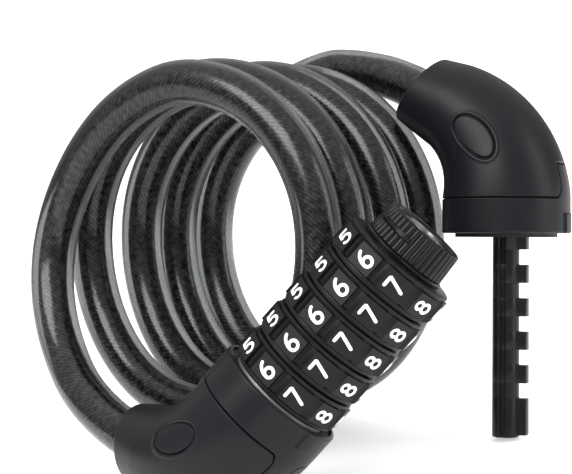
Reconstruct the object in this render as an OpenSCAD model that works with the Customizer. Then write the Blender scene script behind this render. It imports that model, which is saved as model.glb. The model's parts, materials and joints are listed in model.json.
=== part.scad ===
// Five-dial resettable cable lock: a lock head and a hooded bolt joined by one coiled steel cable.
// Units are millimetres. +Z is up, the lock lies on the plane z = 0 with its cable coil standing behind it.

/* [Cable] */
// Outside diameter of the cable over its clear jacket
cable_d = 12; // [9:0.5:13]
// Radius of the cable coil at the middle of its turns
coil_r = 44.2; // [40:0.2:45]
// Depth of the stack of turns, front to back
coil_depth = 51; // [40:1:56]

/* [Dials] */
// Distance from one dial to the next, and from one bolt notch to the next
dial_pitch = 8.7; // [7:0.1:11]
// Outside diameter of a dial over its number pads
dial_d = 30.8; // [28:0.2:32]
// Gap between two dials
dial_gap = 0.6; // [0.4:0.1:1]
// Outside diameter of the code sleeve inside each dial
sleeve_d = 20.8; // [19:0.2:22]
// Width of the groove between two number pads
pad_groove_w = 2.2; // [1:0.1:3]
// Depth of the groove between two number pads
pad_groove_depth = 0.7; // [0.3:0.1:1.2]
// How far the code sleeves shift when the code is being reset
reset_travel = 1.6; // [1:0.1:1.8]

/* [Reset knob] */
// Length of the reset knob
knob_l = 8.3; // [7:0.1:9]
// Outside diameter of the reset knob at its rim
knob_d = 20.5; // [20:0.1:20.8]
// Number of grip grooves around the reset knob
knob_grooves = 40; // [12:1:44]

/* [Housings] */
// Outside diameter of both collars
collar_d = 33.4; // [32:0.2:36]
// Height of both collars, from the open rim to the seam
collar_h = 9.1; // [8.4:0.1:12]
// Wall of the moulded shells
shell_wall = 2.2; // [1.6:0.1:2.6]
// Outside diameter of a shell at its cable mouth
mouth_d = 20; // [19:0.2:22]
// Angle through which a shell bends
shell_bend = 64; // [60:1:68]
// Radius of the shell's bend, at its centreline
shell_bend_r = 27.5; // [26:0.5:30]
// Straight length of a shell before its mouth
mouth_l = 9.5; // [8:0.5:12]
// How far the mouth reaches out on the inside of the bend, and back on the outside
mouth_slant = 2.5; // [0:0.5:3]
// Width of the tongue that rises from a collar into its shell
tongue_w = 7; // [4:0.5:9]
// Height of the tongue's top above the open rim
tongue_top = 18; // [14:0.5:20]
// Length of the oval badge
badge_l = 14.4; // [10:0.2:15]
// Width of the oval badge
badge_w = 8; // [6:0.1:9]

/* [Bolt] */
// Diameter of the bolt's round shank
bolt_d = 7.1; // [6:0.1:8]
// Length of the bolt below the hood's rim
bolt_l = 53.3; // [50:0.1:56]
// Width of the notched rib along the bolt
rib_w = 2.6; // [2:0.1:3]
// Distance from the bolt's axis to the top of the rib
rib_r = 6; // [5.4:0.1:6.4]
// Length of one notch in the rib
notch_l = 3.9; // [3.4:0.1:4.6]
// Distance from the hood's rim to the middle of the first notch
first_notch = 6.2; // [5:0.1:7]
// Width of the shallow flute down the bolt's front
flute_w = 2; // [1:0.1:2.2]

/* [Fits] */
// Radial gap of a piece that turns or slides on another
running_gap = 0.1; // [0.05:0.01:0.1]
// Gap between fixed pieces
seat_gap = 0.05; // [0.02:0.01:0.1]
// Radial gap around the bolt, its rib and the notches
bolt_gap = 0.2; // [0.15:0.05:0.3]

/* [Hidden] */
$fn = 64;
dial_count = 5;
digits = 10;
dial_h = dial_pitch - dial_gap;
dial_r = dial_d / 2;
dial_stack = dial_count * dial_pitch;
sleeve_r = sleeve_d / 2;
sleeve_h = dial_pitch - 0.1;
collar_r = collar_d / 2;
collar_bore_r = dial_r - 1.9;
mouth_r = mouth_d / 2;
cable_r = cable_d / 2;
bolt_r = bolt_d / 2;

// The spindle tube takes the bolt, and its slot lets the rib through.
spindle_bore_r = bolt_r + bolt_gap;
spindle_r = spindle_bore_r + 0.85;
slot_w = rib_w + 0.3;
slot_r = rib_r + 0.3;
knob_r = knob_d / 2;
knob_taper = 0.7;
knob_flange_r = knob_r + 1.15;
knob_flange_h = 0.4;
knob_skirt = 0.5;
knob_recess = 1.8;
spindle_end = dial_stack + knob_l - 0.3;

// With the lock shut the hood's rim meets the last dial, and each notch faces a sleeve's flange.
gate_z = dial_pitch - first_notch;
gate_h = 3;
lug_z = 5;
lug_h = 1.3;
lug_w = 2.2;
lug_r = sleeve_r + 1;
groove_from = lug_z - 0.2;
ring_h = 1;
ring_sunk = 0.6;
ring_r = 13.2;

// Depths inside the lock head, counted from its collar's rim.
sleeve_pocket_depth = reset_travel + 0.8;
spring_floor = 8.5;
bolt_tip_gap = 0.6;
bolt_depth = bolt_l - dial_stack - dial_gap + bolt_tip_gap;
spindle_depth = max(bolt_depth, spring_floor) + 2;
spring_wire_r = 0.5;
spring_r = slot_r + spring_wire_r + 0.1;
spring_pocket_r = spring_r + spring_wire_r + 0.8;
spring_turns = 4;
spring_washer_h = 0.5;

// The hood's recess swallows the reset knob when the lock is shut.
liner_proud = 1;
liner_r = collar_bore_r - seat_gap - 0.15;
recess_r = knob_flange_r + 0.3;
recess_depth = knob_l + 0.5;

// Centreline of a shell: straight through its collar, one arc, then straight to the mouth.
shell_straight = collar_h;
shell_arc_l = shell_bend_r * shell_bend * PI / 180;
shell_l = shell_straight + shell_arc_l + mouth_l;
shell_sides = 40;
shell_rings = 14;
taper_power = 1.25;
ferrule_r = cable_r + 1.2;
ferrule_l = 9;
ferrule_in = 10;
core_arm_r = ferrule_r + 2;
core_r = liner_r;
core_neck_r = 11;
core_neck_top = 21;
core_knee_r = 8;
core_knee_top = 26;
core_knee_shift = 3;
pin_r = 1.5;
bolt_pin_r = 1.2;
bolt_root = recess_depth + 9;
bolt_pin_z = recess_depth + 3;
core_shoulder = 13;
tongue_sunk = 0.2;

// A raised index tab marks the spine of each collar.
index_w = 4;
index_h = 5.2;
index_proud = 0.5;

badge_s = 25.3;
badge_from_bend = 94.8;
badge_turn = 15;
badge_h = 1.2;
badge_proud = 0.2;
badge_gap = 0.2;

// Where the two ends of the lock lie, and the way each one points.
lock_at = [-18.5, -25.5, 29.21];
lock_turn = [40, -28.5, 116];
hood_at = [43.94, 15.1, 52.85];
hood_turn = [12, -2, 152];

// The coil stands on its edge, its axis turned away and dipping to the back.
coil_at = [-46.5, 16, 60.5];
coil_turn = 44.8;
coil_dip = 10.4;
coil_front = 12.6;
coil_rim_trim = 0.5;
hood_clear = 0.3;
coil_axis = [sin(coil_turn) * cos(coil_dip), cos(coil_turn) * cos(coil_dip), -sin(coil_dip)];
coil_side = [-cos(coil_turn), sin(coil_turn), 0];
coil_up = [sin(coil_turn) * sin(coil_dip), cos(coil_turn) * sin(coil_dip), cos(coil_dip)];

// Cable from inside the lock head's mouth to the first turn.
lead_route = [
    [-48.2, -13.5, 13.1], [-50.9, -10.6, 13.6], [-53.5, -7.7, 14.1], [-56.2, -4.8, 14.7], [-60, -0.2, 15.7],
    [-64.5, 6.5, 18], [-69, 14, 21.2], [-72.5, 20, 24.5], [-75.5, 26, 29], [-77.5, 32, 34.5],
    [-78.5, 37.5, 41.5], [-78.5, 42.5, 50]
];
// Cable from the last turn into the hood's mouth.
tail_route = [
    [-10, 75.5, 90], [-6, 71.5, 93], [-2, 66.2, 95], [2, 61, 96.5], [6, 55.6, 97.5],
    [10.5, 49.6, 97.3], [15, 44.4, 96.5], [19.8, 39.6, 95], [24.7, 34.7, 92.7], [27.6, 32.7, 90.8],
    [30.6, 30.7, 89], [33.5, 28.8, 87.1], [36.5, 26.8, 85.3]
];
cable_sides = 10;

// ---- Sweeps ----

function unit(v) = v / norm(v);

// Triangles between neighbouring rings of a sweep; the second way round faces the other way.
function side_faces(rings, sides, from = 0, inward = false) = [
    for (i = [0 : rings - 2], k = [0 : sides - 1], half = [0, 1])
        let (a = from + i * sides + k,
             b = from + i * sides + (k + 1) % sides,
             c = a + sides,
             d = b + sides,
             face = half == 0 ? [a, c, b] : [b, c, d])
        inward ? [face[0], face[2], face[1]] : face
];

// Points of a round bar swept along a route, with one reference direction for every ring.
function bar_points(route, r, sides, ref) = [
    for (i = [0 : len(route) - 1])
        let (last = len(route) - 1,
             along = unit(route[min(i + 1, last)] - route[max(i - 1, 0)]),
             n1 = unit(cross(along, ref)),
             n2 = cross(along, n1))
        for (k = [0 : sides - 1])
            route[i] + r * (cos(k * 360 / sides) * n1 + sin(k * 360 / sides) * n2)
];

module bar(route, r, sides, ref) {
    rings = len(route);
    ends = [
        [for (k = [0 : sides - 1]) k],
        [for (k = [sides - 1 : -1 : 0]) (rings - 1) * sides + k]
    ];
    polyhedron(bar_points(route, r, sides, ref), concat(side_faces(rings, sides), ends), convexity = 6);
}

// ---- Shells: a bent, tapering tube ----

function bend_at(s) = min(max((s - shell_straight) / shell_arc_l, 0), 1) * shell_bend;
function mouth_run(s) = max(s - shell_straight - shell_arc_l, 0);
function centre_at(s) = let (b = bend_at(s), e = mouth_run(s)) [
    shell_bend_r * (1 - cos(b)) + e * sin(b),
    0,
    min(s, shell_straight) + shell_bend_r * sin(b) + e * cos(b)
];
function shell_r_at(s) =
    collar_r - (collar_r - mouth_r) * pow(max(s - collar_h, 0) / (shell_l - collar_h), taper_power);
function shell_end(a) = shell_l + mouth_slant * cos(a);
function skin_point(s, a, inset = 0) = let (b = bend_at(s), r = shell_r_at(s) - inset)
    centre_at(s) + r * [cos(a) * cos(b), sin(a), -cos(a) * sin(b)];
function skin(inset, from) = [
    for (i = [0 : shell_rings], k = [0 : shell_sides - 1])
        let (a = 360 * k / shell_sides)
            skin_point(from + (shell_end(a) - from) * i / shell_rings, a, inset)
];

// Wall of a shell from a start near the seam to the mouth, open at both ends, its skin sunk if asked.
module shell_wall_tube(wall, from, sunk = 0) {
    rings = shell_rings + 1;
    inner = rings * shell_sides;
    last = (rings - 1) * shell_sides;
    rims = [
        for (k = [0 : shell_sides - 1], half = [0, 1], top = [0, 1])
            let (a = top * last + k,
                 b = top * last + (k + 1) % shell_sides,
                 face = half == 0 ? [a, b, a + inner] : [b, b + inner, a + inner])
            top == 1 ? [face[0], face[2], face[1]] : face
    ];
    faces = concat(
        side_faces(rings, shell_sides),
        side_faces(rings, shell_sides, inner, true),
        rims
    );
    polyhedron(concat(skin(sunk, from), skin(wall, from)), faces, convexity = 8);
}

module tongue_space(gap) {
    w = tongue_w + 2 * gap;
    translate([-2 * collar_r, -w / 2, collar_h - 1])
        cube([2 * collar_r, w, tongue_top - collar_h + 1 + gap]);
}

// An oval bar through the wall at the badge's place, square to the shell's side.
module badge_bar(side, gap) {
    translate(skin_point(badge_s, side * badge_from_bend))
        rotate([0, bend_at(badge_s), 0])
            rotate([-side * badge_from_bend, 0, 0])
                rotate([0, 0, 90 + side * badge_turn])
                    translate([0, 0, -mouth_r / 2])
                        linear_extrude(mouth_r)
                            polygon([
                                for (a = [0 : 7.5 : 352.5])
                                    [(badge_l / 2 + gap) * cos(a), (badge_w / 2 + gap) * sin(a)]
                            ]);
}

// The badge follows the shell's skin.
module badge(side) {
    intersection() {
        shell_wall_tube(badge_h, collar_h, -badge_proud);
        badge_bar(side, 0);
    }
}

module badge_pocket(side) {
    intersection() {
        shell_wall_tube(badge_h + seat_gap, collar_h, -1);
        badge_bar(side, badge_gap);
    }
}

module shell(side) {
    difference() {
        shell_wall_tube(shell_wall, collar_h);
        tongue_space(seat_gap);
        badge_pocket(side);
    }
}

module collar_ring() {
    difference() {
        union() {
            cylinder(h = collar_h, r = collar_r);
            intersection() {
                cylinder(h = index_h, r = collar_r + index_proud);
                translate([-2 * collar_r, -index_w / 2, 0])
                    cube([2 * collar_r, index_w, index_h]);
            }
        }
        translate([0, 0, -1])
            cylinder(h = collar_h + 2, r = collar_bore_r);
    }
    intersection() {
        shell_wall_tube(shell_wall, collar_h - 0.5, tongue_sunk);
        tongue_space(0);
    }
}

// ---- Cores: the cast blocks that hold bolt, spindle and cable ----

// Puts its children on the mouth's axis, their Z pointing into the shell, measured from the mouth.
module from_mouth(depth) {
    translate(centre_at(shell_l))
        rotate([0, shell_bend, 0])
            rotate([180, 0, 0])
                translate([0, 0, depth])
                    children();
}

module core_block(face_z) {
    difference() {
        union() {
            translate([0, 0, face_z])
                cylinder(h = core_shoulder - face_z, r = core_r);
            cylinder(h = core_neck_top, r = core_neck_r);
            translate([core_knee_shift, 0, 0])
                cylinder(h = core_knee_top, r = core_knee_r);
            from_mouth(ferrule_in - 2)
                cylinder(h = ferrule_l + 4, r = core_arm_r);
        }
        translate([0, 0, face_z - 20])
            cylinder(h = 20, r = core_r + 1);
        from_mouth(-1)
            cylinder(h = ferrule_in + ferrule_l + 1 + seat_gap, r = ferrule_r + seat_gap);
        from_mouth(ferrule_in + ferrule_l / 2)
            rotate([90, 0, 0])
                cylinder(h = 4 * core_r, r = pin_r + seat_gap, center = true);
    }
}

module ferrule() {
    difference() {
        from_mouth(ferrule_in)
            cylinder(h = ferrule_l, r = ferrule_r);
        from_mouth(ferrule_in - 1)
            cylinder(h = 5, r = cable_r + seat_gap);
        from_mouth(ferrule_in + ferrule_l / 2)
            rotate([90, 0, 0])
                cylinder(h = 4 * ferrule_r, r = pin_r + seat_gap, center = true);
    }
}

module cable_pin() {
    from_mouth(ferrule_in + ferrule_l / 2)
        rotate([90, 0, 0])
            cylinder(h = 2 * (core_arm_r - 0.4), r = pin_r, center = true);
}

// ---- Placement ----

// The dial axis: Z runs from the collar through the dials to the reset knob, X to the mouth's side.
module at_dials() {
    translate(lock_at)
        rotate(lock_turn)
            children();
}

// The lock head's housing: Z runs from its collar's rim into its shell.
module at_lock() {
    at_dials()
        translate([0, 0, -dial_gap])
            rotate([180, 0, 0])
                children();
}

// The hood: Z runs from its collar's rim into its shell, the bolt points along -Z.
module at_hood() {
    translate(hood_at)
        rotate(hood_turn)
            children();
}

// ---- Lock head ----

module lock_shell() {
    color([0.16, 0.16, 0.17])
        at_lock()
            shell(-1);
}

module lock_collar() {
    color([0.15, 0.15, 0.16])
        at_lock()
            collar_ring();
}

module lock_badge() {
    color([0.2, 0.2, 0.21])
        at_lock()
            badge(-1);
}

module lock_core() {
    color([0.62, 0.63, 0.65])
        at_lock()
            difference() {
                core_block(0);
                translate([0, 0, -1])
                    cylinder(h = sleeve_pocket_depth + 1, r = lug_r + 0.2);
                translate([0, 0, -1])
                    cylinder(h = spring_floor + 1, r = spring_pocket_r);
                cylinder(h = spindle_depth + seat_gap, r = spindle_r + seat_gap);
                translate([-slot_r, -slot_w / 2, 0])
                    cube([slot_r, slot_w, bolt_depth + 0.8]);
            }
}

module lock_ferrule() {
    color([0.7, 0.7, 0.7])
        at_lock()
            ferrule();
}

module lock_pin() {
    color([0.75, 0.75, 0.76])
        at_lock()
            cable_pin();
}

module spindle_tube() {
    foot = -dial_gap - spindle_depth;
    floor_z = foot + 1.2;
    bore_l = spindle_end - floor_z + 1;
    color([0.7, 0.71, 0.73])
        at_dials()
            difference() {
                translate([0, 0, foot])
                    cylinder(h = spindle_end - foot, r = spindle_r);
                translate([0, 0, floor_z])
                    cylinder(h = bore_l, r = spindle_bore_r);
                translate([-2 * spindle_r, -slot_w / 2, floor_z])
                    cube([2 * spindle_r, slot_w, bore_l]);
            }
}

// One number dial: ten pads between two rims, and ten inner grooves for the sleeve's lug.
module wheel(n) {
    base = n * dial_pitch;
    rim_h = 1.2;
    rim_in = 0.35;
    groove_r = lug_r + 0.3;
    color([0.12, 0.12, 0.13])
        at_dials()
            translate([0, 0, base])
                difference() {
                    rotate_extrude()
                        polygon([
                            [sleeve_r + running_gap, dial_h],
                            [sleeve_r + running_gap, groove_from],
                            [groove_r, groove_from],
                            [groove_r, ring_sunk],
                            [ring_r + running_gap, ring_sunk],
                            [ring_r + running_gap, 0],
                            [dial_r - rim_in - 0.5, 0],
                            [dial_r - rim_in, 0.5],
                            [dial_r - rim_in, rim_h],
                            [dial_r, rim_h + rim_in],
                            [dial_r, dial_h - rim_h - rim_in],
                            [dial_r - rim_in, dial_h - rim_h],
                            [dial_r - rim_in, dial_h - 0.5],
                            [dial_r - rim_in - 0.5, dial_h]
                        ]);
                    for (k = [0 : digits - 1])
                        rotate([0, 0, (k + 0.5) * 360 / digits])
                            translate([dial_r - pad_groove_depth, -pad_groove_w / 2, rim_h])
                                cube([3, pad_groove_w, dial_h - 2 * rim_h]);
                    for (k = [0 : digits - 1])
                        rotate([0, 0, k * 360 / digits])
                            translate([sleeve_r - 1, -lug_w / 2 - running_gap, groove_from - 0.1])
                                cube([groove_r - sleeve_r + 1, lug_w + 2 * running_gap, dial_h]);
                }
}

// One code sleeve: its flange has the gate that lets the bolt's rib pass, its lug drives the dial.
module sleeve(n) {
    color([0.8, 0.72, 0.5])
        at_dials()
            translate([0, 0, n * dial_pitch])
                difference() {
                    union() {
                        cylinder(h = sleeve_h, r = sleeve_r);
                        translate([0, -lug_w / 2, lug_z])
                            cube([lug_r, lug_w, lug_h]);
                    }
                    translate([0, 0, -1])
                        cylinder(h = gate_z - gate_h / 2 + 1, r = slot_r + 0.2);
                    translate([0, 0, gate_z + gate_h / 2])
                        cylinder(h = sleeve_h, r = slot_r + 0.2);
                    translate([0, 0, -1])
                        cylinder(h = sleeve_h + 2, r = spindle_r + running_gap);
                    translate([-slot_r - 0.2, -slot_w / 2 - 0.15, -1])
                        cube([slot_r, slot_w + 0.3, sleeve_h + 2]);
                }
}

module spacer_rings() {
    color([0.9, 0.9, 0.88])
        at_dials()
            for (n = [0 : dial_count - 1])
                translate([0, 0, n * dial_pitch - dial_gap + 0.1])
                    difference() {
                        cylinder(h = ring_h, r = ring_r);
                        translate([0, 0, -1])
                            cylinder(h = ring_h + 2, r = lug_r + 0.2);
                    }
}

// The reset knob turns on the spindle, its skirt around the last sleeve; it narrows towards its rim.
module reset_knob() {
    grip_from = knob_flange_h + 0.5;
    grip_depth = 0.4;
    groove_w = 0.8;
    base_r = knob_r + knob_taper;
    skirt_r = sleeve_r + 0.2;
    color([0.08, 0.08, 0.09])
        at_dials()
            translate([0, 0, dial_stack])
                difference() {
                    rotate_extrude()
                        polygon([
                            [spindle_r + running_gap, 0],
                            [skirt_r, 0],
                            [skirt_r, -knob_skirt],
                            [knob_flange_r - 0.2, -knob_skirt],
                            [knob_flange_r, 0.2 - knob_skirt],
                            [knob_flange_r, knob_flange_h],
                            [base_r - grip_depth, grip_from - 0.2],
                            [base_r, grip_from],
                            [knob_r, knob_l - 0.4],
                            [knob_r - 0.4, knob_l],
                            [knob_r - 1.2, knob_l],
                            [knob_r - 1.6, knob_l - knob_recess],
                            [spindle_r + running_gap, knob_l - knob_recess]
                        ]);
                    for (k = [0 : knob_grooves - 1])
                        rotate([0, 0, k * 360 / knob_grooves])
                            translate([base_r - grip_depth, 0, 0])
                                rotate([0, -atan(knob_taper / knob_l), 0])
                                    translate([0, -groove_w / 2, grip_from])
                                        cube([2, groove_w, knob_l]);
                    translate([-slot_r - 0.1, -slot_w / 2 - 0.1, -1])
                        cube([slot_r, slot_w + 0.2, knob_l + 2]);
                }
}

module retaining_ring() {
    ring_z = dial_stack + knob_l - knob_recess + 0.1;
    color([0.6, 0.6, 0.62])
        at_dials()
            translate([0, 0, ring_z])
                difference() {
                    cylinder(h = 0.8, r = spindle_r + 2);
                    translate([0, 0, -1])
                        cylinder(h = 3, r = spindle_r);
                    translate([-3 * spindle_r, -slot_w / 2 - 0.2, -1])
                        cube([3 * spindle_r, slot_w + 0.4, 3]);
                }
}

module reset_spring() {
    top = -spring_washer_h - 0.1 - spring_wire_r;
    bottom = -dial_gap - spring_floor + spring_wire_r + 0.1;
    steps = 14 * spring_turns;
    route = [
        for (i = [0 : steps])
            let (a = i * 360 * spring_turns / steps)
            [spring_r * cos(a), spring_r * sin(a), bottom + (top - bottom) * i / steps]
    ];
    color([0.75, 0.75, 0.78])
        at_dials()
            bar(route, spring_wire_r, 8, [0, 0, 1]);
}

module spring_washer() {
    color([0.7, 0.7, 0.72])
        at_dials()
            translate([0, 0, -spring_washer_h - 0.05])
                difference() {
                    cylinder(h = spring_washer_h, r = spring_pocket_r - 0.2);
                    translate([0, 0, -1])
                        cylinder(h = 3, r = slot_r);
                }
}

// ---- Hood ----

module hood_shell() {
    color([0.16, 0.16, 0.17])
        at_hood()
            shell(1);
}

module hood_collar() {
    color([0.15, 0.15, 0.16])
        at_hood()
            collar_ring();
}

module hood_badge() {
    color([0.2, 0.2, 0.21])
        at_hood()
            badge(1);
}

module hood_core() {
    color([0.62, 0.63, 0.65])
        at_hood()
            difference() {
                core_block(recess_depth + seat_gap);
                cylinder(h = bolt_root + seat_gap, r = bolt_r + seat_gap);
                translate([0, 0, bolt_pin_z])
                    rotate([90, 0, 0])
                        cylinder(h = 4 * core_r, r = bolt_pin_r + seat_gap, center = true);
            }
}

module hood_liner() {
    color([0.1, 0.1, 0.11])
        at_hood()
            difference() {
                translate([0, 0, -liner_proud])
                    cylinder(h = recess_depth + liner_proud, r = liner_r);
                translate([0, 0, -liner_proud - 1])
                    cylinder(h = recess_depth + liner_proud + 2, r = recess_r);
            }
}

// The bolt: a round shank with a rib, and one notch in the rib for each dial.
module bolt() {
    rib_from = -bolt_l + 0.6;
    flute_depth = 0.35;
    flute_end = 3;
    color([0.07, 0.07, 0.08])
        at_hood()
            difference() {
                union() {
                    translate([0, 0, -bolt_l])
                        cylinder(h = bolt_l + bolt_root, r = bolt_r);
                    translate([-rib_r, -rib_w / 2, rib_from])
                        cube([rib_r, rib_w, recess_depth - rib_from]);
                }
                for (n = [0 : dial_count - 1])
                    difference() {
                        translate([-rib_r - 1, -rib_w, -first_notch - n * dial_pitch - notch_l / 2])
                            cube([rib_r, 2 * rib_w, notch_l]);
                        translate([0, 0, -bolt_l])
                            cylinder(h = bolt_l, r = bolt_r);
                    }
                translate([-flute_w / 2, bolt_r - flute_depth, flute_end - bolt_l])
                    cube([flute_w, 1, bolt_l - 2 * flute_end]);
                translate([0, 0, bolt_pin_z])
                    rotate([90, 0, 0])
                        cylinder(h = 4 * bolt_r, r = bolt_pin_r + seat_gap, center = true);
            }
}

module bolt_pin() {
    color([0.75, 0.75, 0.76])
        at_hood()
            translate([0, 0, bolt_pin_z])
                rotate([90, 0, 0])
                    cylinder(h = 2 * (core_r - 0.9), r = bolt_pin_r, center = true);
}

module hood_ferrule() {
    color([0.7, 0.7, 0.7])
        at_hood()
            ferrule();
}

module hood_pin() {
    color([0.75, 0.75, 0.76])
        at_hood()
            cable_pin();
}

// ---- Cable ----

// Station of the cable along the coil's axis; the turns touch, so it steps once for each half turn.
turn_steps = [0, 14.5, 13.5, 29.5, 32.5, 42.5, 46.5, 56.5, 60, 66];
function coil_station(a) =
    let (n = min(floor((a - 90) / 180), len(turn_steps) - 2), t = (a - 90) / 180 - n)
    turn_steps[n] + (turn_steps[n + 1] - turn_steps[n]) * (1 - cos(180 * t)) / 2;
function coil_point(a) =
    coil_at + coil_station(a) * coil_axis + coil_r * (sin(a) * coil_side - cos(a) * coil_up);

module cable_lead() {
    first_turn = [for (a = [90 : 15 : 240]) coil_point(a)];
    color([0.13, 0.14, 0.14])
        bar(concat(lead_route, first_turn), cable_r, cable_sides, coil_axis);
}

module cable_coil() {
    color([0.15, 0.16, 0.16])
        difference() {
            translate(coil_at)
                rotate([0, 0, -coil_turn])
                    rotate([-90 - coil_dip, 0, 0])
                        rotate_extrude($fn = 96)
                            translate([coil_r - cable_r, coil_front])
                                square([cable_d - coil_rim_trim, coil_depth]);
            at_hood() {
                translate([0, 0, -liner_proud - hood_clear])
                    cylinder(h = 2 * collar_d, r = collar_r + hood_clear);
                from_mouth(-mouth_slant - hood_clear)
                    cylinder(h = shell_arc_l, r = mouth_r + 2.2);
            }
        }
}

module cable_tail() {
    last_turn = [for (a = [1575 : 15 : 1590]) coil_point(a)];
    color([0.13, 0.14, 0.14])
        bar(concat(last_turn, tail_route), cable_r, cable_sides, coil_axis);
}

lock_shell();
lock_collar();
lock_badge();
lock_core();
lock_ferrule();
lock_pin();
spindle_tube();
wheel(0);  // wheel_1
wheel(1);  // wheel_2
wheel(2);  // wheel_3
wheel(3);  // wheel_4
wheel(4);  // wheel_5
sleeve(0);  // sleeve_1
sleeve(1);  // sleeve_2
sleeve(2);  // sleeve_3
sleeve(3);  // sleeve_4
sleeve(4);  // sleeve_5
spacer_rings();
reset_knob();
retaining_ring();
reset_spring();
spring_washer();
hood_shell();
hood_collar();
hood_badge();
hood_core();
hood_liner();
bolt();
bolt_pin();
hood_ferrule();
hood_pin();
cable_lead();
cable_coil();
cable_tail();
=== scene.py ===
import bpy
import json
import math
import numpy as np
from mathutils import Euler, Matrix, Vector


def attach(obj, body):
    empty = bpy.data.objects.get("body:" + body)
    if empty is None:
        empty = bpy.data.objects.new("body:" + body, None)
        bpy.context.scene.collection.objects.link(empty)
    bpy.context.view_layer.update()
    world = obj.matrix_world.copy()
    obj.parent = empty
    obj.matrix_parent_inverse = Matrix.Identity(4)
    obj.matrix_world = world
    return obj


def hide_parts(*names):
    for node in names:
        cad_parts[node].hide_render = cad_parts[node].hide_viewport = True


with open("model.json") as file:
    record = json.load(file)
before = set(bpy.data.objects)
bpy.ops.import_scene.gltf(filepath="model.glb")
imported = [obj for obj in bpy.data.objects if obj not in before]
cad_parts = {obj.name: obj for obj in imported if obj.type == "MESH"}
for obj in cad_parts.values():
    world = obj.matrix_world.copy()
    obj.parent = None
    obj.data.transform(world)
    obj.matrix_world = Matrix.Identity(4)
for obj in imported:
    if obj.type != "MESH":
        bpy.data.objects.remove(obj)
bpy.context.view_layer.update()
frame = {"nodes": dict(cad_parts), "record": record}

# ---- Camera ----
# A long lens a little above the lock, looking along +Y and slightly down, rolled a few degrees so that
# the hanging bolt leans on the picture.
eye = Vector((-0.0134, -0.4229, 0.1340))
look_down = 9.695
lean = -7.15
camera = bpy.data.objects.new("camera", bpy.data.cameras.new("camera"))
camera.data.lens = 107
camera.data.sensor_width = 36
camera.data.clip_start = 0.01
camera.data.clip_end = 100
turn = Matrix.Rotation(math.radians(90 - look_down), 4, "X") @ Matrix.Rotation(math.radians(lean), 4, "Z")
camera.matrix_world = Matrix.Translation(eye) @ turn
bpy.context.scene.collection.objects.link(camera)
bpy.context.scene.camera = camera

# ---- Cable ----
# Steel wire rope in a thick clear smoked jacket, wound at the works so that it coils up by itself.
# The rope runs from the lock head's mouth through the coil's turns and over the back into the hood.
mm = 0.001
cable_r = 6.0
rope_r = 2.85
coil_at = np.array([-47, 17, 61.4])
coil_turn = math.radians(44.8)
coil_dip = math.radians(10.4)
coil_axis = np.array([math.sin(coil_turn) * math.cos(coil_dip),
                      math.cos(coil_turn) * math.cos(coil_dip),
                      -math.sin(coil_dip)])
coil_side = np.array([-math.cos(coil_turn), math.sin(coil_turn), 0])
coil_up = np.array([math.sin(coil_turn) * math.sin(coil_dip),
                    math.cos(coil_turn) * math.sin(coil_dip),
                    math.cos(coil_dip)])
turn_steps = [0, 13.7, 13.9, 27.6, 32.4, 42.8, 47.1, 57.6, 58, 66]
turn_radii = [39.5, 45, 44, 43, 43.5, 43.5, 44.5, 42.1, 40, 42.5]
lead_route = [
    (-48.2, -13.5, 13.1), (-50.9, -10.6, 13.6), (-53.5, -7.7, 14.1), (-56.2, -4.8, 14.7),
    (-60.1, -0.1, 16.1), (-64.7, 6.5, 18.2), (-69.4, 14, 21.3), (-73.7, 22.5, 25.4), (-76.9, 30.5, 31.2),
    (-79, 37, 38.6), (-79.7, 42.3, 47.1), (-78.6, 46.3, 56.5), (-75.4, 47.5, 66.5), (-70.1, 46, 76.6),
    (-63.1, 42.5, 86.1), (-54.9, 38, 93.9), (-45.8, 33, 99.2)
]
tail_route = [
    (-10, 76.4, 89.9), (-6, 74.3, 92.8), (-1.9, 70.9, 94.6), (2.2, 67.6, 96), (6.3, 63.6, 96.9),
    (11, 58.6, 96.6), (15.6, 53.9, 95.7), (20.4, 48.1, 94.3), (25.2, 40.8, 92.1), (27.9, 36.5, 90.4),
    (30.7, 32.1, 88.9), (33.5, 28.8, 87.1), (36.5, 26.8, 85.3)
]


def coil_point(degrees):
    half = min(int((degrees - 90) // 180), len(turn_steps) - 2)
    t = (degrees - 90) / 180 - half
    share = (1 - math.cos(math.pi * t)) / 2
    along = turn_steps[half] + (turn_steps[half + 1] - turn_steps[half]) * share
    radius = turn_radii[half] + (turn_radii[half + 1] - turn_radii[half]) * share
    a = math.radians(degrees)
    return coil_at + along * coil_axis + radius * (math.sin(a) * coil_side - math.cos(a) * coil_up)


def smooth_route(points, step):
    """A smooth line through the points, one ring every step."""
    p = np.array(points, float)
    p = np.vstack([2 * p[0] - p[1], p, 2 * p[-1] - p[-2]])
    fine = []
    for i in range(1, len(p) - 2):
        a, b, c, d = p[i - 1:i + 3]
        for t in np.arange(0, 1, 0.05):
            fine.append(0.5 * (2 * b + (c - a) * t + (2 * a - 5 * b + 4 * c - d) * t * t
                               + (3 * b - a - 3 * c + d) * t ** 3))
    fine = np.array(fine + [p[-2]])
    run = np.concatenate([[0], np.cumsum(np.linalg.norm(np.diff(fine, axis=0), axis=1))])
    at = np.linspace(0, run[-1], int(run[-1] / step) + 1)
    return np.stack([np.interp(at, run, fine[:, k]) for k in range(3)], 1), at


def carried_frames(line, first):
    """Two directions across the line at each point, carried along it without twist."""
    along = np.gradient(line, axis=0)
    along /= np.linalg.norm(along, axis=1)[:, None]
    n1 = np.empty_like(line)
    n1[0] = first - along[0] * (first @ along[0])
    for i in range(1, len(line)):
        n1[i] = n1[i - 1] - along[i] * (n1[i - 1] @ along[i])
        n1[i] /= np.linalg.norm(n1[i])
    n1[0] /= np.linalg.norm(n1[0])
    return n1, np.cross(along, n1)


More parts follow.
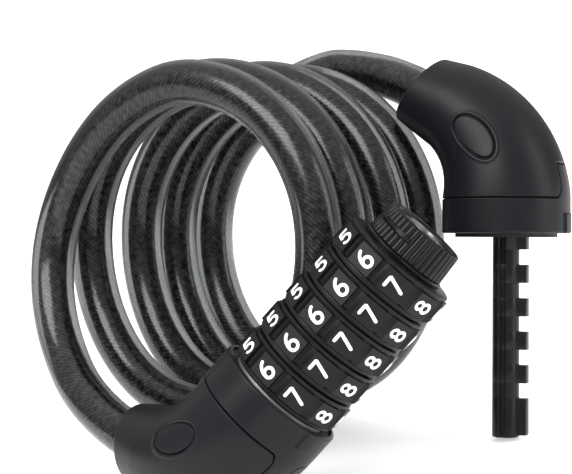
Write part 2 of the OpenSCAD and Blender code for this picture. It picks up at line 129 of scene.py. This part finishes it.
def mesh_piece(name, rings, loop=False, caps=True, sharp=None, uv=None):
    """A closed skin over rings of points, given in millimetres, as a linked object in metres."""
    rows, sides = rings.shape[:2]
    mesh = bpy.data.meshes.new(name)
    i, k = np.meshgrid(np.arange(rows if loop else rows - 1), np.arange(sides), indexing="ij")
    j = (i + 1) % rows
    n = (k + 1) % sides
    quads = np.stack([i * sides + k, i * sides + n, j * sides + n, j * sides + k], -1).reshape(-1, 4)
    faces = quads.tolist()
    if caps and not loop:
        faces.append(list(range(sides))[::-1])
        faces.append([(rows - 1) * sides + s for s in range(sides)])
    mesh.from_pydata((rings.reshape(-1, 3) * mm).tolist(), [], faces)
    if uv is not None:
        layer = mesh.uv_layers.new(name="run")
        lengths, around = uv
        wrap = np.where(n == 0, 1.0, n / sides)
        corner = np.stack([
            np.stack([lengths[i], k / sides], -1), np.stack([lengths[i], wrap], -1),
            np.stack([lengths[j], wrap], -1), np.stack([lengths[j], k / sides], -1)
        ], 2).reshape(-1, 2) * np.array([1, around])
        flat = np.zeros(len(mesh.loops) * 2)
        flat[:corner.size] = corner.reshape(-1)
        layer.data.foreach_set("uv", flat)
    mesh.update()
    for polygon in mesh.polygons:
        polygon.use_smooth = True
    if sharp is not None:
        mesh.set_sharp_from_angle(angle=math.radians(sharp))
    piece = bpy.data.objects.new(name, mesh)
    bpy.context.scene.collection.objects.link(piece)
    return piece


def swept(line, radii, sides):
    """Rings of a round bar along a line; radii is one number, or one for each point of each ring."""
    n1, n2 = carried_frames(line, coil_axis)
    a = np.linspace(0, 2 * math.pi, sides, endpoint=False)[None, :]
    r = radii if np.ndim(radii) == 2 else np.full((len(line), sides), radii)
    out = np.cos(a)[..., None] * n1[:, None] + np.sin(a)[..., None] * n2[:, None]
    return line[:, None] + r[..., None] * out


def shader(material, kind="ShaderNodeBsdfPrincipled"):
    return next(n for n in material.node_tree.nodes if n.bl_idname == kind)


def new_material(name, color, roughness, **sockets):
    material = bpy.data.materials.new(name)
    material.use_nodes = True
    principled = shader(material)
    principled.inputs["Base Color"].default_value = (*color, 1)
    principled.inputs["Roughness"].default_value = roughness
    for socket, value in sockets.items():
        principled.inputs[socket.replace("_", " ")].default_value = value
    return material


def wire(material, from_node, from_socket, to_node, to_socket):
    material.node_tree.links.new(from_node.outputs[from_socket], to_node.inputs[to_socket])


def node(material, kind, **values):
    made = material.node_tree.nodes.new(kind)
    for key, value in values.items():
        if key in made.inputs:
            made.inputs[key].default_value = value
        else:
            setattr(made, key, value)
    return made


turns = [coil_point(a) for a in range(180, 1591, 15)]
cable_line, cable_run = smooth_route(lead_route + turns + tail_route, 1.0)
jacket = mesh_piece("cable_jacket", swept(cable_line, cable_r, 40))

strands = 14
strand_lay = 62.0
strand_relief = 0.14
rope_line, rope_run = smooth_route(lead_route + turns + tail_route, 0.8)
rope_sides = 96
around = np.linspace(0, 2 * math.pi, rope_sides, endpoint=False)[None, :]
phase = strands / 2 * (around - 2 * math.pi * rope_run[:, None] / strand_lay)
rope = mesh_piece("cable_wire_rope",
                  swept(rope_line, rope_r - strand_relief * (1 - np.abs(np.cos(phase))), rope_sides),
                  uv=(rope_run / strand_lay, 1.0))

smoked = new_material("smoked_clear_jacket", (0.14, 0.146, 0.142), 0.2, IOR=1.38, Transmission_Weight=1.0)
jacket_noise = node(smoked, "ShaderNodeTexNoise", Scale=260.0, Detail=3.0)
jacket_place = node(smoked, "ShaderNodeTexCoord")
wire(smoked, jacket_place, "Object", jacket_noise, "Vector")
jacket_bump = node(smoked, "ShaderNodeBump", Strength=0.12, Distance=0.0004)
wire(smoked, jacket_noise, "Fac", jacket_bump, "Height")
wire(smoked, jacket_bump, "Normal", shader(smoked), "Normal")
jacket.data.materials.append(smoked)

blackened = new_material("blackened_steel_wire", (0.3, 0.3, 0.31), 0.42, Metallic=0.9)
lay = node(blackened, "ShaderNodeUVMap", uv_map="run")
split = node(blackened, "ShaderNodeSeparateXYZ")
wire(blackened, lay, "UV", split, "Vector")
# Single wires lie across their strands the other way.
along_mix = node(blackened, "ShaderNodeMath", operation="MULTIPLY_ADD")
along_mix.inputs[1].default_value = 46.0
around_mix = node(blackened, "ShaderNodeMath", operation="MULTIPLY")
around_mix.inputs[1].default_value = 14.0
wire(blackened, split, "Y", around_mix, 0)
wire(blackened, split, "X", along_mix, 0)
wire(blackened, around_mix, "Value", along_mix, 2)
to_angle = node(blackened, "ShaderNodeMath", operation="MULTIPLY")
to_angle.inputs[1].default_value = 2 * math.pi
wire(blackened, along_mix, "Value", to_angle, 0)
wires = node(blackened, "ShaderNodeMath", operation="SINE")
wire(blackened, to_angle, "Value", wires, 0)
wire_bump = node(blackened, "ShaderNodeBump", Strength=0.4, Distance=0.0003)
wire(blackened, wires, "Value", wire_bump, "Height")
wire(blackened, wire_bump, "Normal", shader(blackened), "Normal")
# Painted shade and light on the wires: the colour follows the bump's wave, darker in the grooves between
# single wires and lighter on their crowns.
groove_shade_fac = node(blackened, "ShaderNodeMapRange")
groove_shade_fac.inputs["From Min"].default_value = -1
groove_shade_fac.inputs["To Min"].default_value = 0.0
wire(blackened, wires, "Value", groove_shade_fac, "Value")
painted_wire_shade = node(blackened, "ShaderNodeMix", data_type="RGBA")
painted_wire_shade.inputs[6].default_value = (0.07, 0.07, 0.073, 1)
painted_wire_shade.inputs[7].default_value = (0.19, 0.19, 0.2, 1)
wire(blackened, groove_shade_fac, "Result", painted_wire_shade, 0)
wear = node(blackened, "ShaderNodeTexNoise", Scale=700.0, Detail=4.0)
wear_place = node(blackened, "ShaderNodeTexCoord")
wire(blackened, wear_place, "Object", wear, "Vector")
worn = node(blackened, "ShaderNodeMix", data_type="RGBA", blend_type="MULTIPLY")
worn.inputs[0].default_value = 1.0
blackened.node_tree.links.new(painted_wire_shade.outputs[2], worn.inputs[6])
patchy = node(blackened, "ShaderNodeMapRange")
patchy.inputs["From Min"].default_value = 0.36
patchy.inputs["From Max"].default_value = 0.64
patchy.inputs["To Min"].default_value = 0.15
patchy.inputs["To Max"].default_value = 1.5
wire(blackened, wear, "Fac", patchy, "Value")
blackened.node_tree.links.new(patchy.outputs["Result"], worn.inputs[7])
blackened.node_tree.links.new(worn.outputs[2], shader(blackened).inputs["Base Color"])
rope.data.materials.append(blackened)

for piece in (jacket, rope):
    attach(piece, "root")
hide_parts("cable_lead", "cable_coil", "cable_tail")

# ---- Bent housings ----
# Two moulded black shells and their collars, satin finished. Collar and shell meet at a fine seam that
# runs up around the collar's tongue, and each shell has a blank oval badge in a groove on its side.
collar_r = 16.7
collar_h = 9.1
mouth_r = 10.0
mouth_slant = 2.5
bend_r = 27.5
bend = math.radians(64)
mouth_l = 9.5
arc_l = bend_r * bend
shell_l = collar_h + arc_l + mouth_l
taper_power = 1.25
tongue_half = 3.5
tongue_top = 14.8
tongue_fillet = 2.5
tab_half = 2.0
tab_h = 5.2
tab_proud = 0.5
seam_half = 0.28
badge_gap_half = 0.42
groove_depth = 0.6
slant_from = 34
skin_wall = 1.2
badge_shift = 1.2
badge_turn = math.radians(15)
badge_half = (6.9, 3.8)
dial_gap = 0.6
lock_at = Vector((-18.5, -25.5, 29.21))
lock_turn = Euler([math.radians(a) for a in (40, -28.5, 116)])
hood_at = Vector((43.94, 15.1, 52.85))
hood_turn = Euler([math.radians(a) for a in (12, -2, 152)])
at_dials = Matrix.Translation(lock_at) @ lock_turn.to_matrix().to_4x4()
at_lock = at_dials @ Matrix.Translation((0, 0, -dial_gap)) @ Matrix.Rotation(math.pi, 4, "X")
at_hood = Matrix.Translation(hood_at) @ hood_turn.to_matrix().to_4x4()


def placed(points, matrix):
    m = np.array(matrix)
    return points @ m[:3, :3].T + m[:3, 3]


def housing_centre(s):
    b = np.clip((s - collar_h) / arc_l, 0, 1) * bend
    e = np.maximum(s - collar_h - arc_l, 0)
    x = bend_r * (1 - np.cos(b)) + e * np.sin(b)
    z = np.minimum(s, collar_h) + bend_r * np.sin(b) + e * np.cos(b)
    return x, z, b


def housing_radius(s):
    t = np.maximum(s - collar_h, 0) / (shell_l - collar_h)
    return collar_r - (collar_r - mouth_r) * t ** taper_power


def housing_point(s, a, lift):
    x, z, b = housing_centre(s)
    r = housing_radius(s) + lift
    return np.stack([x + r * np.cos(a) * np.cos(b), r * np.sin(a), z - r * np.cos(a) * np.sin(b)], -1)


def seam_distance(u, v):
    """Signed distance to the seam on the skin: below zero on the collar and its tongue."""
    below = v - collar_h
    across = np.abs(u) - tongue_half
    over = v - tongue_top
    round_top = 1.0
    tongue = (np.hypot(np.maximum(across + round_top, 0), np.maximum(over + round_top, 0)) - round_top
              + np.minimum(np.maximum(across, over) + round_top, 0))
    k = tongue_fillet
    joined = np.maximum(k, np.minimum(below, tongue)) - np.hypot(np.maximum(k - below, 0),
                                                                 np.maximum(k - tongue, 0))
    return joined


def groove(distance, half_width, depth):
    t = np.clip(1 - np.abs(distance) / half_width, 0, 1)
    return -depth * t * t * (3 - 2 * t)


def step(distance, height, width):
    t = np.clip(0.5 - distance / width, 0, 1)
    return height * t * t * (3 - 2 * t)


def spaced(*stretches):
    """Values over stretches of (from, to, spacing), joined end to end."""
    out = []
    for start, end, gap in stretches:
        out.extend(np.linspace(start, end, max(2, int(round((end - start) / gap)) + 1))[:-1])
    out.append(stretches[-1][1])
    return np.array(out)


def housing(name, matrix, side, lip_in, badge_s):
    """One collar and shell; side is +1 or -1, lip_in the rim's width, badge_s the badge's distance."""
    badge_rows = (17.6, 33.2, 0.15)
    s = spaced((0.45, 1.4, 0.2), (1.4, 4.8, 0.4), (4.8, 5.6, 0.1), (5.6, 8.6, 0.4), (8.6, 11.9, 0.11),
               (11.9, 14.2, 0.3), (14.2, 15.6, 0.12), (15.6, 17.6, 0.4), badge_rows,
               (33.2, shell_l - 0.8, 0.7), (shell_l - 0.8, shell_l - 0.4, 0.2))
    u = spaced((-180, -108, 1.8), (-108, -64, 0.6), (-64, -23, 1.8), (-23, -6, 0.4), (-6, 6, 1.5),
               (6, 23, 0.4), (23, 64, 1.8), (64, 108, 0.6), (108, 180, 1.8))[:-1]
    a = np.radians(u + 180)
    grid_s, grid_a = np.meshgrid(s, a, indexing="ij")
    reach = np.clip((grid_s - slant_from) / (shell_l - slant_from), 0, 1)
    grid_s = grid_s + mouth_slant * np.cos(grid_a) * reach
    radius = housing_radius(grid_s)
    spine = (grid_a % (2 * math.pi) - math.pi) * radius
    seam = seam_distance(spine, grid_s)
    lift = groove(seam, seam_half, groove_depth)
    # The badge is a groove around a low dome.
    from_side = (grid_a - side * math.pi / 2 + math.pi) % (2 * math.pi) - math.pi
    du = from_side * side * radius - badge_shift
    ds = grid_s - badge_s
    p = (ds * math.cos(badge_turn) - du * math.sin(badge_turn)) / badge_half[0]
    q = (ds * math.sin(badge_turn) + du * math.cos(badge_turn)) / badge_half[1]
    ell = np.hypot(p, q)
    near = np.hypot(p / badge_half[0], q / badge_half[1]) + 1e-9
    edge = (ell - 1) * ell / near
    lift += groove(edge, badge_gap_half, groove_depth)
    lift += 0.12 * np.exp(-((edge - 0.75) / 0.35) ** 2)
    lift += step(np.maximum(np.abs(spine) - tab_half, grid_s - tab_h), tab_proud, 0.35)
    outer = housing_point(grid_s, grid_a, lift)

    def ring(at, inset, proud=0.0, slant=0.0):
        return housing_point(at + slant * np.cos(a), a, proud * lift[0] - inset)[None]

    rim = np.concatenate([
        ring(0.6, 3.2), ring(lip_in / 2, 3.0), ring(lip_in / 2, lip_in), ring(0.02, lip_in - 0.15),
        ring(0.0, 0.5, 1), ring(0.2, 0.16, 1)
    ])
    mouth = np.concatenate([
        ring(shell_l - back, inset, 0, mouth_slant)
        for back, inset in ((0.15, 0.1), (0, 0.4), (-0.02, 1.1), (0.2, 1.75), (0.8, 2.0), (4, 2.1), (9, 2.2))
    ])
    whole = mesh_piece(name, placed(np.concatenate([rim, outer, mouth]), matrix), caps=False)
    row_seam = np.concatenate([np.full((len(rim), len(a)), -9.0), seam, np.full((len(mouth), len(a)), 9.0)])
    return whole, row_seam


def part_of(whole, name, keep):
    """The faces of a piece that keep marks, as a piece of its own with a wall behind its skin."""
    mesh = whole.data
    used = [list(p.vertices) for p, k in zip(mesh.polygons, keep) if k]
    index = sorted({v for f in used for v in f})
    back = {v: i for i, v in enumerate(index)}
    part = bpy.data.meshes.new(name)
    part.from_pydata([mesh.vertices[v].co for v in index], [], [[back[v] for v in f] for f in used])
    part.update()
    for polygon in part.polygons:
        polygon.use_smooth = True
    part.set_sharp_from_angle(angle=math.radians(70))
    piece = bpy.data.objects.new(name, part)
    bpy.context.scene.collection.objects.link(piece)
    wall = piece.modifiers.new("wall", "SOLIDIFY")
    wall.thickness = skin_wall * mm
    wall.offset = -1
    return piece


def moulded(name, color, roughness, grain):
    """Black moulded plastic with a fine spark-eroded grain and slightly uneven polish."""
    material = new_material(name, color, roughness, Specular_IOR_Level=0.17)
    place = node(material, "ShaderNodeTexCoord")
    fine = node(material, "ShaderNodeTexNoise", Scale=2600.0, Detail=2.0)
    broad = node(material, "ShaderNodeTexNoise", Scale=60.0, Detail=4.0)
    wire(material, place, "Object", fine, "Vector")
    wire(material, place, "Object", broad, "Vector")
    bump = node(material, "ShaderNodeBump", Strength=grain, Distance=0.0001)
    wire(material, fine, "Fac", bump, "Height")
    wire(material, bump, "Normal", shader(material), "Normal")
    polish = node(material, "ShaderNodeMapRange")
    polish.inputs["From Min"].default_value = 0.3
    polish.inputs["From Max"].default_value = 0.7
    polish.inputs["To Min"].default_value = roughness - 0.05
    polish.inputs["To Max"].default_value = roughness + 0.07
    wire(material, broad, "Fac", polish, "Value")
    wire(material, polish, "Result", shader(material), "Roughness")
    shade = node(material, "ShaderNodeMix", data_type="RGBA")
    shade.inputs[6].default_value = (*[c * 0.8 for c in color], 1)
    shade.inputs[7].default_value = (*[c * 1.25 for c in color], 1)
    wire(material, broad, "Fac", shade, 0)
    material.node_tree.links.new(shade.outputs[2], shader(material).inputs["Base Color"])
    return material


satin_black = moulded("satin_black_moulding", (0.005, 0.0054, 0.0068), 0.38, 0.25)

ends = (("lock", at_lock, -1, 1.2, 24.5), ("hood", at_hood, 1, 2.9, 25.3))
for end, matrix, side, lip_in, badge_s in ends:
    whole, row_seam = housing(end + "_whole", matrix, side, lip_in, badge_s)
    next_seam = np.roll(row_seam, -1, 1)
    face_seam = (row_seam[:-1] + row_seam[1:] + next_seam[:-1] + next_seam[1:]) / 4
    on_collar = (face_seam < 0).reshape(-1)
    for kind, keep in (("collar", on_collar), ("shell", ~on_collar)):
        piece = part_of(whole, f"{end}_{kind}_skin", keep)
        piece.data.materials.append(satin_black)
        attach(piece, "root")
        if kind == "shell":
            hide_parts(f"{end}_shell", f"{end}_badge")
        else:
            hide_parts(f"{end}_collar")
    bpy.data.objects.remove(whole)

# ---- Number dials ----
# Five moulded wheels. Each has ten flat pads around it, a dark drop and a ramp between two pads, a plain
# rim on either side, and a white number printed on each pad.
pitch = 8.7
dials = 5
dial_h = pitch - dial_gap
rim_r = 14.65
pad_r = 15.05
pad_half = math.radians(12.4)
cell = math.radians(36)
print_w = 0.84
print_h = 0.07
bore_r = 10.5


def pad_profile():
    """Angle and height of the band over one tenth of the dial, from the middle of a pad."""
    across = (-pad_half, -pad_half + 0.02, -0.07, 0.07, pad_half - 0.02, pad_half)
    flat = [(t, pad_r / math.cos(t)) for t in across]
    edge = flat[-1][1]
    drop = math.radians(13.0)
    floor_end = math.radians(17.8)
    ramp_end = math.radians(23.2)
    low = edge - 1.05
    return flat + [(drop, low + 0.05), (drop + 0.02, low - 0.03), (floor_end, low),
                   (floor_end + 0.015, low + 0.07), (ramp_end - 0.01, edge - 0.22)]


def turned(rows, angles):
    """Rings of a piece turned about its axis, from rows of height and radius."""
    return np.stack([
        np.stack([r * np.cos(angles), r * np.sin(angles), np.full_like(r, z)], -1) for z, r in rows
    ])


def dial_rings():
    profile = pad_profile()
    angles = np.concatenate([[k * cell + t for t, _ in profile] for k in range(10)])
    band = np.concatenate([[r for _, r in profile] for _ in range(10)])
    plain = np.full_like(band, 1.0)
    rows = [
        (0.0, plain * bore_r), (0.0, plain * (rim_r - 0.3)), (0.1, plain * (rim_r - 0.08)),
        (0.25, plain * rim_r), (0.8, plain * rim_r), (0.87, plain * (rim_r - 0.14)),
        (0.94, np.minimum(band, rim_r - 0.1)), (1.04, band - 0.1), (1.2, band),
        (6.72, band), (6.86, band - 0.1), (6.95, np.minimum(band, rim_r - 0.25)),
        (7.02, plain * (rim_r - 0.28)), (7.1, plain * (rim_r - 0.05)), (7.22, plain * rim_r),
        (7.78, plain * rim_r), (7.97, plain * (rim_r - 0.12)), (dial_h, plain * (rim_r - 0.4)),
        (dial_h, plain * bore_r)
    ]
    return turned(rows, angles)


def arc(cx, cy, rx, ry, start, end, steps=14):
    t = np.radians(np.linspace(start, end, steps))
    return [(cx + rx * math.cos(a), cy + ry * math.sin(a)) for a in t]


# Number shapes on a field 2.3 wide and 4.3 high about its middle, each a list of strokes.
number_strokes = {
    0: [arc(0, 0, 1.15, 2.15, 90, 450, 28)],
    1: [[(-0.75, 1.35), (0.25, 2.15), (0.25, -2.15)]],
    2: [arc(0, 1.0, 1.15, 1.15, 165, -35, 14) + [(-1.15, -2.15), (1.15, -2.15)]],
    3: [arc(-0.05, 1.1, 1.1, 1.05, 150, -80, 14), arc(-0.05, -1.05, 1.2, 1.1, 80, -150, 14)],
    4: [[(0.6, -2.15), (0.6, 2.15), (-1.25, -0.95), (1.25, -0.95)]],
    5: [[(1.0, 2.15), (-0.85, 2.15), (-1.0, 0.25)] + arc(0, -0.75, 1.2, 1.4, 125, -145, 16)],
    6: [arc(0, -0.95, 1.15, 1.2, 0, 360, 24), arc(1.05, -0.75, 2.2, 2.95, 180, 103, 12)],
    7: [[(-1.2, 2.15), (1.15, 2.15), (-0.35, -2.15)]],
    8: [arc(0, 1.08, 0.98, 1.05, 0, 360, 24), arc(0, -1.07, 1.15, 1.1, 0, 360, 24)],
    9: [arc(0, 0.95, 1.15, 1.2, 0, 360, 24), arc(-1.05, 0.75, 2.2, 2.95, 0, -77, 12)],
}


def stroke_rings(stroke):
    """A flat printed stroke with round ends, as rings around its line: x across, y up, z off the pad."""
    p = np.array(stroke, float)
    run = np.concatenate([[0], np.cumsum(np.linalg.norm(np.diff(p, axis=0), axis=1))])
    at = np.unique(np.concatenate([np.arange(0, run[-1], 0.18), run]))
    line = np.stack([np.interp(at, run, p[:, k]) for k in range(2)], 1)
    along = np.gradient(line, axis=0)
    along /= np.linalg.norm(along, axis=1)[:, None]
    w = print_w / 2
    caps = np.radians([80, 60, 40, 20])
    start = [(line[0] - along[0] * w * math.sin(c), along[0], w * math.cos(c)) for c in caps]
    end = [(line[-1] + along[-1] * w * math.sin(c), along[-1], w * math.cos(c)) for c in caps[::-1]]
    spine = start + [(q, t, w) for q, t in zip(line, along)] + end
    rings = []
    for q, t, half in spine:
        across = np.array([-t[1], t[0]])
        ring = []
        for a in np.radians(np.arange(0, 360, 36)):
            flat = q + across * half * math.cos(a)
            ring.append((flat[0], flat[1], print_h * np.sign(math.sin(a)) * abs(math.sin(a)) ** 0.5 + 0.03))
        rings.append(ring)
    return np.array(rings)


def number_points(rings, number, base):
    """Lays a number's rings on its pad: reading towards the knob, its top towards the lower number."""
    a = math.pi + cell * (number - 8)
    out = np.array([math.cos(a), math.sin(a), 0])
    up = np.array([math.sin(a), -math.cos(a), 0])
    right = np.array([0, 0, 1])
    middle = out * pad_r + right * (base + 3.9)
    return middle + rings[..., :1] * right + rings[..., 1:2] * up + rings[..., 2:] * out


dial_black = moulded("dial_black", (0.004, 0.0042, 0.005), 0.36, 0.3)
print_white = moulded("number_white", (0.86, 0.86, 0.86), 0.5, 0.1)
dial_shape = dial_rings()
for n in range(dials):
    rings = dial_shape + np.array([0, 0, n * pitch])
    dial = mesh_piece(f"dial_{n + 1}", placed(rings, at_dials), loop=True, sharp=28)
    dial.data.materials.append(dial_black)
    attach(dial, f"dial_{n + 1}")
    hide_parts(f"wheel_{n + 1}")
    points, faces = [], []
    for number, strokes in number_strokes.items():
        for stroke in strokes:
            laid = placed(number_points(stroke_rings(stroke), number, n * pitch), at_dials) * mm
            rows, sides = laid.shape[:2]
            start = len(points)
            points.extend(laid.reshape(-1, 3).tolist())
            faces.extend([start + r * sides + c, start + r * sides + (c + 1) % sides,
                          start + (r + 1) * sides + (c + 1) % sides, start + (r + 1) * sides + c]
                         for r in range(rows - 1) for c in range(sides))
            faces.append([start + c for c in range(sides)][::-1])
            faces.append([start + (rows - 1) * sides + c for c in range(sides)])
    mesh = bpy.data.meshes.new(f"dial_{n + 1}_numbers")
    mesh.from_pydata(points, [], faces)
    mesh.update()
    numbers = bpy.data.objects.new(f"dial_{n + 1}_numbers", mesh)
    bpy.context.scene.collection.objects.link(numbers)
    for polygon in mesh.polygons:
        polygon.use_smooth = True
    mesh.materials.append(print_white)
    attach(numbers, f"dial_{n + 1}")

# ---- Reset knob ----
# A ribbed knob on the spindle's end, narrow at its neck and scalloped at its rim, with a slot part way
# round for the tool that holds it.
knob_ribs = 40
knob_l = 8.3
knob_r = 10.25
knob_base_r = 10.95
skirt = 0.5
dial_stack = dials * pitch
slot_middle = math.radians(80)
slot_half = math.radians(48)
slot_floor = 8.95
rib_h = 0.42
flange_r = 11.4
skirt_bore_r = 10.62


def knob_rings():
    per = 10
    t = np.arange(knob_ribs * per) / per
    a = t * 2 * math.pi / knob_ribs
    wave = np.abs(np.cos(math.pi * t)) ** 0.6
    plain = np.ones_like(a)
    slot_side = np.clip((np.cos(a - slot_middle) - math.cos(slot_half)) * 14, 0, 1)

    def grip(z, rib, cut=0.0):
        body = knob_base_r + (knob_r - knob_base_r) * z / knob_l - rib_h
        return (body + rib * wave) * (1 - cut * slot_side) + slot_floor * cut * slot_side

    rows = [
        (0.35, plain * 4.8), (0.35, plain * skirt_bore_r), (-skirt, plain * skirt_bore_r),
        (-skirt, plain * (flange_r - 0.15)), (-0.2, plain * flange_r), (0.35, plain * flange_r),
        (0.55, plain * (flange_r - 0.2)), (0.7, grip(0.7, 0.05)), (0.95, grip(0.95, rib_h)),
        (2.4, grip(2.4, rib_h)), (3.9, grip(3.9, rib_h)), (4.0, grip(4.0, rib_h, 0.1)),
        (4.05, grip(4.05, rib_h, 1)), (5.2, grip(5.2, rib_h, 1)), (5.25, grip(5.25, rib_h, 0.1)),
        (5.35, grip(5.35, rib_h)), (6.6, grip(6.6, rib_h)), (7.7, grip(7.7, rib_h)),
        (8.05, grip(8.05, 0.36)), (8.25, grip(8.25, 0.12)), (knob_l, grip(8.3, -0.2)),
        (knob_l, plain * 9.1), (8.1, plain * 8.9), (7.4, plain * 8.75), (6.6, plain * 8.6),
        (6.5, plain * 8.3), (6.5, plain * 4.8)
    ]
    return turned([(z + dial_stack, r) for z, r in rows], a)


knob_black = moulded("knob_black", (0.004, 0.004, 0.005), 0.3, 0.2)
knob = mesh_piece("knob_grip", placed(knob_rings(), at_dials), loop=True, sharp=40)
knob.data.materials.append(knob_black)
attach(knob, "knob")
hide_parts("reset_knob")

# ---- Bolt ----
# A black coated round shank with a rib down one side. Five notches in the rib face the code sleeves when
# the lock is shut, and a shallow flute runs down the front.
bolt_r = 3.55
bolt_l = 53.3
rib_r = 6.0
rib_half = 1.3
first_notch = 6.2
notch_l = 3.9
bolt_top = 8.0


def bolt_outline(rib):
    """Outline of the shank across its axis, rib towards -X when asked, flute on +Y."""
    points = []
    for degrees in np.concatenate([np.arange(-156, 72, 6), np.arange(72, 108.1, 3), np.arange(114, 157, 6)]):
        a = math.radians(degrees)
        r = bolt_r
        near_flute = abs(degrees - 90)
        if near_flute < 16:
            r = bolt_r - 0.45 * min(1, (16 - near_flute) / 4)
        points.append((r * math.cos(a), r * math.sin(a)))
    x0 = -math.sqrt(bolt_r ** 2 - rib_half ** 2)
    if rib:
        corner = 0.3
        left = [(x0 - 0.15, rib_half), (-rib_r + corner, rib_half), (-rib_r + 0.09, rib_half - 0.09),
                (-rib_r, rib_half - corner), (-rib_r, 0)]
    else:
        left = [(x0, rib_half), (-math.sqrt(bolt_r ** 2 - 1.0), 1.0), (-math.sqrt(bolt_r ** 2 - 0.5), 0.7),
                (-math.sqrt(bolt_r ** 2 - 0.1), 0.35), (-bolt_r, 0)]
    return np.array(points + left + [(x, -y) for x, y in left[-2::-1]])


def bolt_rings():
    full = bolt_outline(True)
    bare = bolt_outline(False)
    rows = [(bolt_top, full, 1.0)]
    for n in range(dials):
        top = -first_notch - n * pitch + notch_l / 2
        bottom = top - notch_l
        rows += [(top + 0.2, full, 1.0), (top + 0.03, full * 0.985, 1.0), (top, bare, 1.0),
                 (bottom, bare, 1.0), (bottom - 0.03, full * 0.985, 1.0), (bottom - 0.2, full, 1.0)]
    tip = -bolt_l
    rows += [(tip + 1.3, full, 1.0), (tip + 0.75, full * 0.94 + bare * 0.06, 1.0), (tip + 0.7, bare, 1.0),
             (tip + 0.35, bare, 1.0), (tip + 0.1, bare, 0.95), (tip, bare, 0.88), (tip, bare, 0.1)]
    return np.stack([np.concatenate([o * k, np.full((len(o), 1), z)], 1) for z, o, k in rows])


bolt_black = moulded("bolt_black", (0.007, 0.007, 0.008), 0.24, 0.15)
bolt = mesh_piece("bolt_shank", placed(bolt_rings()[::-1], at_hood), sharp=35)
bolt.data.materials.append(bolt_black)
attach(bolt, "root")
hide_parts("bolt")

# ---- Inner pieces ----
# What sits inside the housings and dials: cast cores, steel ferrules and pins, spindle, sleeves, rings.
cast_zinc = moulded("cast_zinc", (0.42, 0.43, 0.44), 0.45, 0.4)
shader(cast_zinc).inputs["Metallic"].default_value = 0.9
plain_steel = moulded("plain_steel", (0.5, 0.5, 0.52), 0.3, 0.2)
shader(plain_steel).inputs["Metallic"].default_value = 1.0
turned_brass = moulded("turned_brass", (0.62, 0.48, 0.22), 0.3, 0.2)
shader(turned_brass).inputs["Metallic"].default_value = 1.0
liner_black = moulded("liner_black", (0.02, 0.02, 0.021), 0.5, 0.3)
node_finish = {"cast_zinc": cast_zinc, "steel": plain_steel, "sleeve": turned_brass,
               "spacer": liner_black, "liner": liner_black}
for entry in frame["record"]["subparts"]:
    finish = node_finish.get(entry["material_slot"])
    if finish is not None:
        mesh = frame["nodes"][entry["node"]].data
        mesh.materials.clear()
        mesh.materials.append(finish)

# ---- Studio ----
# A plain pale floor under a soft white sky, a large soft key from the upper left and a soft side fill.
floor_mesh = bpy.data.meshes.new("floor")
floor_mesh.from_pydata([(-30, -30, 0), (30, -30, 0), (30, 30, 0), (-30, 30, 0)], [], [(0, 1, 2, 3)])
floor = bpy.data.objects.new("floor", floor_mesh)
bpy.context.scene.collection.objects.link(floor)
pale = new_material("pale_floor", (0.95, 0.95, 0.95), 0.8,
                    Emission_Color=(1, 1, 1, 1), Emission_Strength=0.5)
floor_mesh.materials.append(pale)

sky = bpy.data.worlds.new("sky")
bpy.context.scene.world = sky
sky.use_nodes = True
sky_nodes = sky.node_tree
background = next(n for n in sky_nodes.nodes if n.bl_idname == "ShaderNodeBackground")
place = sky_nodes.nodes.new("ShaderNodeTexCoord")
apart = sky_nodes.nodes.new("ShaderNodeSeparateXYZ")
ramp = sky_nodes.nodes.new("ShaderNodeValToRGB")
ramp.color_ramp.elements[0].position = 0.0
ramp.color_ramp.elements[0].color = (0.2, 0.2, 0.2, 1)
ramp.color_ramp.elements[1].position = 1.0
ramp.color_ramp.elements[1].color = (1, 1, 1, 1)
sky_nodes.links.new(place.outputs["Generated"], apart.inputs["Vector"])
sky_nodes.links.new(apart.outputs["Z"], ramp.inputs["Fac"])
sky_nodes.links.new(ramp.outputs["Color"], background.inputs["Color"])
background.inputs["Strength"].default_value = 1.4


def soft_light(name, at, aim, size, power):
    light = bpy.data.lights.new(name, "AREA")
    light.shape = "RECTANGLE"
    light.size, light.size_y = size
    light.energy = power
    lamp = bpy.data.objects.new(name, light)
    lamp.location = at
    lamp.rotation_euler = (Vector(aim) - Vector(at)).to_track_quat("-Z", "Y").to_euler()
    bpy.context.scene.collection.objects.link(lamp)


middle = (0, 0.02, 0.05)
soft_light("key", (-0.5, -0.55, 0.8), middle, (0.8, 0.5), 12)
soft_light("side_fill", (0.8, -0.3, 0.35), middle, (0.3, 0.7), 3)

scene = bpy.context.scene
scene.view_settings.view_transform = "Standard"
